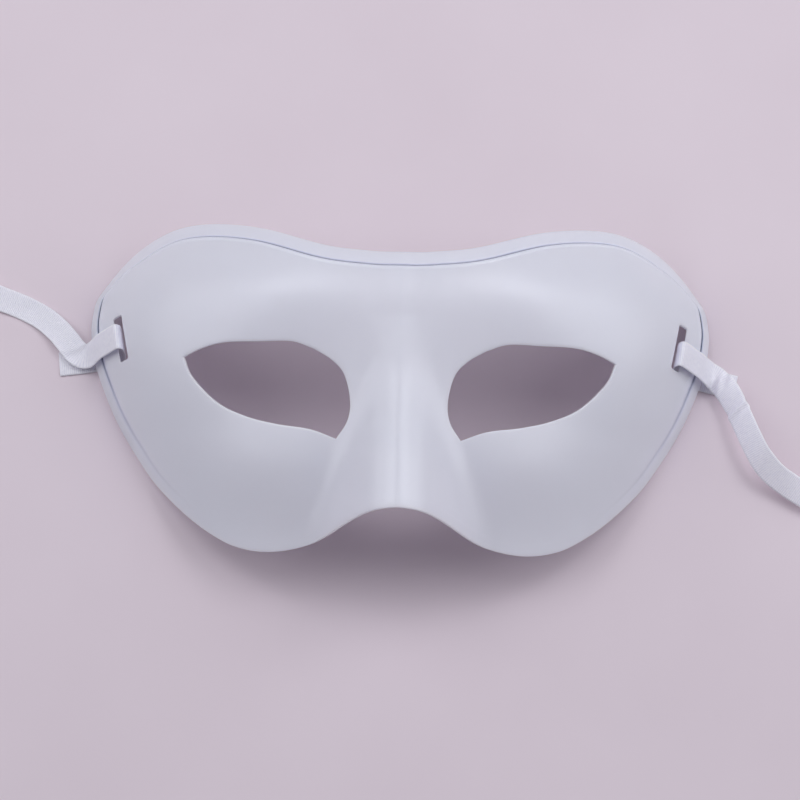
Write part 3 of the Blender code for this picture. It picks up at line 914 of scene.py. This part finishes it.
mask_mesh = punch_out(mask_sheet, [slot_punch(-1), slot_punch(1)])
mask_mesh.shade_smooth()
mask_mesh.set_sharp_from_angle(angle=SMOOTH_BELOW)
mask = bpy.data.objects.new("mask_face", mask_mesh)
bpy.context.scene.collection.objects.link(mask)
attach(mask, "root")
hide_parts("mask_shell")
print(f"mask: {len(mask_mesh.polygons)} faces")

# %% [markdown]
# ## Finishes as node groups
#
# Each finish is worked out in a group of nodes that takes a place on the piece and gives out a
# colour, a roughness and a height for the bump. The Principled shader stays in the material. One
# group can so be used by more than one material, and be judged by itself.


# %% Helpers for node groups
def make_group(name, inputs, outputs):
    """Empty node group with sockets given as pairs of name and kind."""
    group = bpy.data.node_groups.new(name, "ShaderNodeTree")
    for label, kind in inputs:
        group.interface.new_socket(label, in_out="INPUT", socket_type="NodeSocket" + kind)
    for label, kind in outputs:
        group.interface.new_socket(label, in_out="OUTPUT", socket_type="NodeSocket" + kind)
    return group, group.nodes.new("NodeGroupInput"), group.nodes.new("NodeGroupOutput")


def feed(tree, socket, value):
    """Link a socket to another, or set it to a plain value."""
    if isinstance(value, bpy.types.NodeSocket):
        tree.links.new(value, socket)
    else:
        socket.default_value = value


def calculate(tree, operation, *values):
    """Result of a math node."""
    node = tree.nodes.new("ShaderNodeMath")
    node.operation = operation
    for socket, value in zip(node.inputs, values):
        feed(tree, socket, value)
    return node.outputs[0]


def noise(tree, place, scale, detail=2.0):
    """Value of a noise texture at a place in metres; the scale is in waves per metre."""
    node = tree.nodes.new("ShaderNodeTexNoise")
    node.inputs["Scale"].default_value = scale
    node.inputs["Detail"].default_value = detail
    feed(tree, node.inputs["Vector"], place)
    return node.outputs[0]


def spread(tree, value, low, high, start, end):
    """Value moved from one range to another, kept between the ends."""
    node = tree.nodes.new("ShaderNodeMapRange")
    for index, number in enumerate((value, low, high, start, end)):
        feed(tree, node.inputs[index], number)
    return node.outputs[0]


def blend(tree, share, start, end):
    """Colour between two colours."""
    node = tree.nodes.new("ShaderNodeMix")
    node.data_type = "RGBA"
    feed(tree, node.inputs[0], share)
    feed(tree, node.inputs[6], start)
    feed(tree, node.inputs[7], end)
    return node.outputs[2]


# %% [markdown]
# ## The formed plastic
#
# The sheet is white plastic with a cold cast. Its outer side has a soft gloss with a faint grain,
# a few dark specks, and wiped places that are a little duller. The inner side isn't seen and is
# taken to be matt and greyer, with a raw cut edge. The fold is painted dark, as painted shade for
# the thin dark line there, and is a little duller. A painted image could hold these marks, but
# noise and cells need no image and stay sharp close up, so a node group makes them. The mesh's
# "inside" and "fold" values tell it where it is on the sheet.

# %% Colours and sizes of the plastic
PLASTIC_WHITE = (0.77, 0.80, 1.0, 1.0)
PLASTIC_WARM = (0.785, 0.805, 0.99, 1.0)
PLASTIC_INSIDE = (0.72, 0.73, 0.82, 1.0)
PLASTIC_CUT = (0.88, 0.90, 0.98, 1.0)
# Painted shade for the thin dark line at the fold
FOLD_SHADE = (0.06, 0.08, 0.13, 1.0)
SPECK_SHADE = (0.20, 0.17, 0.16, 1.0)
GRAIN_SCALE = 1500.0
WAVE_SCALE = 90.0
CAST_SCALE = 22.0
WIPE_SCALE = 55.0
SPECK_SCALE = 90.0
SPECK_SIZE = 0.024
SPECK_RARE = 0.93
SPECK_STRENGTH = 0.7
CUT_STRENGTH = 0.8
FOLD_POWER = 1.3
GRAIN_SHARE = 0.15
GLOSSY = 0.295
WIPED = 0.32
INSIDE_DULLER = 0.25
INSIDE_FROM = 0.6
CUT_FULL = 0.10
CUT_NONE = 0.45
WIPE_HIGH = 0.70

# Most values of a noise texture lie in this range
NOISE_LOW = 0.35
NOISE_HIGH = 0.65


# %% Group: plastic sheet
def plastic_group():
    """Colour, roughness and height of the formed sheet."""
    group, start, end = make_group(
        "formed_sheet",
        [("Place", "Vector"), ("Inside", "Float"), ("Fold", "Float")],
        [("Color", "Color"), ("Roughness", "Float"), ("Height", "Float")],
    )
    place, inside, fold = start.outputs[0], start.outputs[1], start.outputs[2]
    cast = spread(group, noise(group, place, CAST_SCALE), NOISE_LOW, NOISE_HIGH, 0.0, 1.0)
    colour = blend(group, cast, PLASTIC_WHITE, PLASTIC_WARM)
    cells = group.nodes.new("ShaderNodeTexVoronoi")
    cells.inputs["Scale"].default_value = SPECK_SCALE
    feed(group, cells.inputs["Vector"], place)
    apart = group.nodes.new("ShaderNodeSeparateColor")
    feed(group, apart.inputs[0], cells.outputs["Color"])
    near = calculate(group, "LESS_THAN", cells.outputs["Distance"], SPECK_SIZE)
    chosen = calculate(group, "GREATER_THAN", apart.outputs[0], SPECK_RARE)
    speck = calculate(group, "MULTIPLY", near, chosen)
    speck = calculate(group, "MULTIPLY", speck, SPECK_STRENGTH)
    colour = blend(group, speck, colour, SPECK_SHADE)
    within = spread(group, inside, INSIDE_FROM, 1.0, 0.0, 1.0)
    colour = blend(group, within, colour, PLASTIC_INSIDE)
    edge = calculate(group, "ABSOLUTE", calculate(group, "SUBTRACT", inside, 0.5))
    cut = spread(group, edge, CUT_FULL, CUT_NONE, 1.0, 0.0)
    colour = blend(group, calculate(group, "MULTIPLY", cut, CUT_STRENGTH), colour, PLASTIC_CUT)
    # The fold is painted dark here as painted shade, and is made a little duller
    painted_fold_shade = calculate(group, "POWER", fold, FOLD_POWER)
    feed(group, end.inputs["Color"], blend(group, painted_fold_shade, colour, FOLD_SHADE))
    wipes = noise(group, place, WIPE_SCALE, detail=4.0)
    wiped = spread(group, wipes, NOISE_LOW, WIPE_HIGH, GLOSSY, WIPED)
    dull = spread(group, inside, 0.0, 1.0, 0.0, INSIDE_DULLER)
    rough = calculate(group, "ADD", wiped, dull)
    feed(group, end.inputs["Roughness"], calculate(group, "ADD", rough, painted_fold_shade))
    grain = noise(group, place, GRAIN_SCALE, detail=3.0)
    grain = calculate(group, "MULTIPLY", grain, GRAIN_SHARE)
    wave = noise(group, place, WAVE_SCALE, detail=2.0)
    height = calculate(group, "ADD", grain, wave)
    raw = calculate(group, "MULTIPLY", cut, noise(group, place, GRAIN_SCALE, detail=4.0))
    feed(group, end.inputs["Height"], calculate(group, "ADD", height, raw))
    return group


formed_sheet = plastic_group()
print("group:", formed_sheet.name, len(formed_sheet.nodes), "nodes")

# %% [markdown]
# ## The plastic's material
#
# A thin white sheet lets some light soak in, which softens its shading. Transmission could do that
# but would make it look like glass, so subsurface scattering does it, a few millimetres deep.
# Numbers that are the same all over the sheet are set on the shader itself.

# %% Material: formed plastic
SHEET_GLOW = 1.0
SHEET_GLOW_DEPTH = 4.0 * MM
SHEET_BUMP = 0.05
SHEET_BUMP_DEPTH = 1.0 * MM
SHEET_IOR = 1.52


def attribute(tree, name, output):
    """Value of one of the mesh's own attributes."""
    node = tree.nodes.new("ShaderNodeAttribute")
    node.attribute_name = name
    return node.outputs[output]


def material_with(name, group, places, bump_strength, bump_depth):
    """Material whose shader takes colour, roughness and bump from a group."""
    material = bpy.data.materials.new(name)
    material.use_nodes = True
    tree = material.node_tree
    shader = tree.nodes["Principled BSDF"]
    finish = tree.nodes.new("ShaderNodeGroup")
    finish.node_tree = group
    for label, value in places(tree).items():
        feed(tree, finish.inputs[label], value)
    bump = tree.nodes.new("ShaderNodeBump")
    bump.inputs["Strength"].default_value = bump_strength
    bump.inputs["Distance"].default_value = bump_depth
    feed(tree, bump.inputs["Height"], finish.outputs["Height"])
    feed(tree, shader.inputs["Base Color"], finish.outputs["Color"])
    feed(tree, shader.inputs["Roughness"], finish.outputs["Roughness"])
    feed(tree, shader.inputs["Normal"], bump.outputs[0])
    return material, shader


def sheet_places(tree):
    """Where the plastic's group reads its place on the piece."""
    coordinates = tree.nodes.new("ShaderNodeTexCoord")
    return {
        "Place": coordinates.outputs["Object"],
        "Inside": attribute(tree, "inside", "Fac"),
        "Fold": attribute(tree, "fold", "Fac"),
    }


plastic, shader = material_with(
    "formed_plastic", formed_sheet, sheet_places, SHEET_BUMP, SHEET_BUMP_DEPTH
)
shader.inputs["Subsurface Weight"].default_value = SHEET_GLOW
shader.inputs["Subsurface Radius"].default_value = (1.0, 1.0, 1.0)
shader.inputs["Subsurface Scale"].default_value = SHEET_GLOW_DEPTH
shader.inputs["IOR"].default_value = SHEET_IOR
mask.data.materials.append(plastic)

# %% [markdown]
# ## The satin
#
# The ribbon is woven: long smooth threads float on its face and give the sheen, and heavier cross
# threads make the ribs. The valleys between the ribs are painted a little darker, as painted shade,
# and the woven edges a little whiter and duller. The place on the cloth was kept with each point,
# so the threads follow the ribbon through every turn.

# %% Colours and sizes of the satin
SATIN_WHITE = (0.97, 0.945, 1.0, 1.0)
SATIN_SHADE = (0.82, 0.80, 0.90, 1.0)
SATIN_EDGE = (0.96, 0.95, 0.99, 1.0)
THREAD_PITCH = 0.17 * MM
YARN_SCALE = 900.0
# How much darker the ribs' valleys are painted, as painted shade
RIB_PAINTED_SHADE = 0.75
TONE_LOW = 0.35
TONE_HIGH = 1.15
SATIN_DULL = 0.58
SATIN_GLOSSY = 0.40
THREAD_SHARE = 0.4
WOVEN_EDGE = 0.44 * RIBBON_WIDTH


# %% Group: woven satin
def satin_group():
    """Colour, roughness and height of the ribbon's cloth."""
    group, start, end = make_group(
        "woven_satin",
        [("On Cloth", "Vector")],
        [("Color", "Color"), ("Roughness", "Float"), ("Height", "Float")],
    )
    parts = group.nodes.new("ShaderNodeSeparateXYZ")
    feed(group, parts.inputs[0], start.outputs[0])
    run, across = parts.outputs[0], parts.outputs[1]
    turn = calculate(group, "MULTIPLY", run, 2.0 * math.pi / RIB_PITCH)
    rib = spread(group, calculate(group, "COSINE", turn), -1.0, 1.0, 0.0, 1.0)
    lines = calculate(group, "MULTIPLY", across, 2.0 * math.pi / THREAD_PITCH)
    thread = spread(group, calculate(group, "SINE", lines), -1.0, 1.0, 0.0, 1.0)
    yarn = noise(group, start.outputs[0], YARN_SCALE, detail=3.0)
    # The ribs' valleys are painted darker as painted shade; the yarn noise is the threads' own
    # random tone
    rib_shade_and_yarn = calculate(group, "ADD", calculate(group, "MULTIPLY", rib, RIB_PAINTED_SHADE), yarn)
    light = spread(group, rib_shade_and_yarn, TONE_LOW, TONE_HIGH, 0.0, 1.0)
    colour = blend(group, light, SATIN_SHADE, SATIN_WHITE)
    outward = calculate(group, "ABSOLUTE", across)
    edge = spread(group, outward, WOVEN_EDGE, RIBBON_WIDTH / 2, 0.0, 1.0)
    feed(group, end.inputs["Color"], blend(group, edge, colour, SATIN_EDGE))
    dull = spread(group, rib_shade_and_yarn, TONE_LOW, TONE_HIGH, SATIN_DULL, SATIN_GLOSSY)
    feed(group, end.inputs["Roughness"], calculate(group, "MAXIMUM", dull, edge))
    fine = calculate(group, "ADD", calculate(group, "MULTIPLY", thread, THREAD_SHARE), yarn)
    feed(group, end.inputs["Height"], fine)
    return group


woven_satin = satin_group()
print("group:", woven_satin.name, len(woven_satin.nodes), "nodes")

# %% Material: ribbon satin
SATIN_BUMP = 0.35
SATIN_BUMP_DEPTH = 0.05 * MM
SATIN_SHEEN = 0.25
SATIN_SHEEN_ROUGHNESS = 0.4
SATIN_GLOW = 0.5
SATIN_GLOW_DEPTH = 1.0 * MM


def cloth_places(tree):
    """Where the satin's group reads its place on the cloth."""
    return {"On Cloth": attribute(tree, "on_cloth", "Vector")}


satin, shader = material_with(
    "ribbon_satin", woven_satin, cloth_places, SATIN_BUMP, SATIN_BUMP_DEPTH
)
shader.inputs["Sheen Weight"].default_value = SATIN_SHEEN
shader.inputs["Sheen Roughness"].default_value = SATIN_SHEEN_ROUGHNESS
shader.inputs["Subsurface Weight"].default_value = SATIN_GLOW
shader.inputs["Subsurface Radius"].default_value = (1.0, 1.0, 1.0)
shader.inputs["Subsurface Scale"].default_value = SATIN_GLOW_DEPTH
for tie in (left_tie, right_tie):
    tie.data.materials.append(satin)

# %% [markdown]
# ## The table
#
# The table is only a stage: a plain pale top with a soft lacquer. One flat colour would do, but it
# looks like an empty background, so a group lets its tone drift and gives it a trace of texture.

# %% Group: pale table top
TABLE_SIZE = 6.0
TABLE_PALE = (0.77, 0.665, 0.70, 1.0)
TABLE_DEEP = (0.75, 0.645, 0.68, 1.0)
CLOUD_SCALE = 14.0
CLOUD_GLOSSY = 0.66
CLOUD_DULL = 0.74
LACQUER_SCALE = 700.0


def table_group():
    """Colour, roughness and height of the table's lacquer."""
    group, start, end = make_group(
        "pale_lacquer",
        [("Place", "Vector")],
        [("Color", "Color"), ("Roughness", "Float"), ("Height", "Float")],
    )
    drift = noise(group, start.outputs[0], CLOUD_SCALE, detail=3.0)
    cloud = spread(group, drift, NOISE_LOW, NOISE_HIGH, 0.0, 1.0)
    feed(group, end.inputs["Color"], blend(group, cloud, TABLE_PALE, TABLE_DEEP))
    rough = spread(group, cloud, 0.0, 1.0, CLOUD_GLOSSY, CLOUD_DULL)
    feed(group, end.inputs["Roughness"], rough)
    feed(group, end.inputs["Height"], noise(group, start.outputs[0], LACQUER_SCALE, detail=2.0))
    return group


def table_places(tree):
    """Where the table's group reads its place."""
    return {"Place": tree.nodes.new("ShaderNodeTexCoord").outputs["Object"]}


# %% Table
TABLE_BUMP = 0.05
TABLE_BUMP_DEPTH = 0.2 * MM


def lay_table():
    """Plain pale table top."""
    top = bmesh.new()
    bmesh.ops.create_grid(top, x_segments=1, y_segments=1, size=TABLE_SIZE / 2)
    mesh = bpy.data.meshes.new("table_top")
    top.to_mesh(mesh)
    top.free()
    table = bpy.data.objects.new("table_top", mesh)
    bpy.context.scene.collection.objects.link(table)
    lacquer, _ = material_with(
        "pale_table", table_group(), table_places, TABLE_BUMP, TABLE_BUMP_DEPTH
    )
    mesh.materials.append(lacquer)
    table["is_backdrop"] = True
    return table


lay_table()

# %% [markdown]
# ## The light
#
# A highlight on a soft gloss has the size and shape of its lamp. Point lamps would leave dots, so
# all the lamps are area lamps: two small ones and two large ones, left and right, and a wide one
# high up. All stand on the forehead's side, so the shadows fall below the nose, as in the photo. A
# dim room fills the rest. Each is faintly blue, because the white plastic looks cold.

# %% Soft boxes and room light
SoftBox = namedtuple("SoftBox", "azimuth elevation distance width height power")
ROOM_COLOUR = (0.86, 0.86, 1.0)
ROOM_STRENGTH = 0.22
BOX_COLOUR = (0.92, 0.94, 1.0)
SOFT_BOXES = [
    SoftBox(-38.0, 56.0, 1.0, 0.38, 0.38, 1.15),
    SoftBox(38.0, 54.0, 1.0, 0.38, 0.38, 1.30),
    SoftBox(-76.0, 38.0, 1.0, 0.80, 0.80, 3.3),
    SoftBox(76.0, 38.0, 1.0, 0.80, 0.80, 4.1),
    SoftBox(0.0, 76.0, 1.0, 1.00, 0.35, 1.0),
]


def hang_soft_box(box):
    """Area light that looks at the mask from an azimuth (0 behind its top) and elevation."""
    azimuth, elevation = math.radians(box.azimuth), math.radians(box.elevation)
    away = Vector(
        (
            math.sin(azimuth) * math.cos(elevation),
            math.cos(azimuth) * math.cos(elevation),
            math.sin(elevation),
        )
    )
    data = bpy.data.lights.new("soft_box", "AREA")
    data.shape = "RECTANGLE"
    data.size = box.width
    data.size_y = box.height
    data.energy = box.power
    data.color = BOX_COLOUR
    light = bpy.data.objects.new("soft_box", data)
    light.location = away * box.distance
    light.rotation_mode = "QUATERNION"
    light.rotation_quaternion = away.to_track_quat("Z", "Y")
    bpy.context.scene.collection.objects.link(light)


def light_room():
    """Even light from all round, as from pale walls."""
    world = bpy.data.worlds.new("room")
    world.use_nodes = True
    background = world.node_tree.nodes["Background"]
    background.inputs["Color"].default_value = (*ROOM_COLOUR, 1.0)
    background.inputs["Strength"].default_value = ROOM_STRENGTH
    bpy.context.scene.world = world


for soft_box in SOFT_BOXES:
    hang_soft_box(soft_box)
light_room()
print("soft boxes:", len(SOFT_BOXES))
bpy.context.scene.view_settings.view_transform = "Standard"

# %% Write the sizes and finish
visual_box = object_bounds()
for name, box in (("solids", cad_box), ("visual", visual_box)):
    print(name, [[round(value / MM, 1) for value in corner] for corner in box])
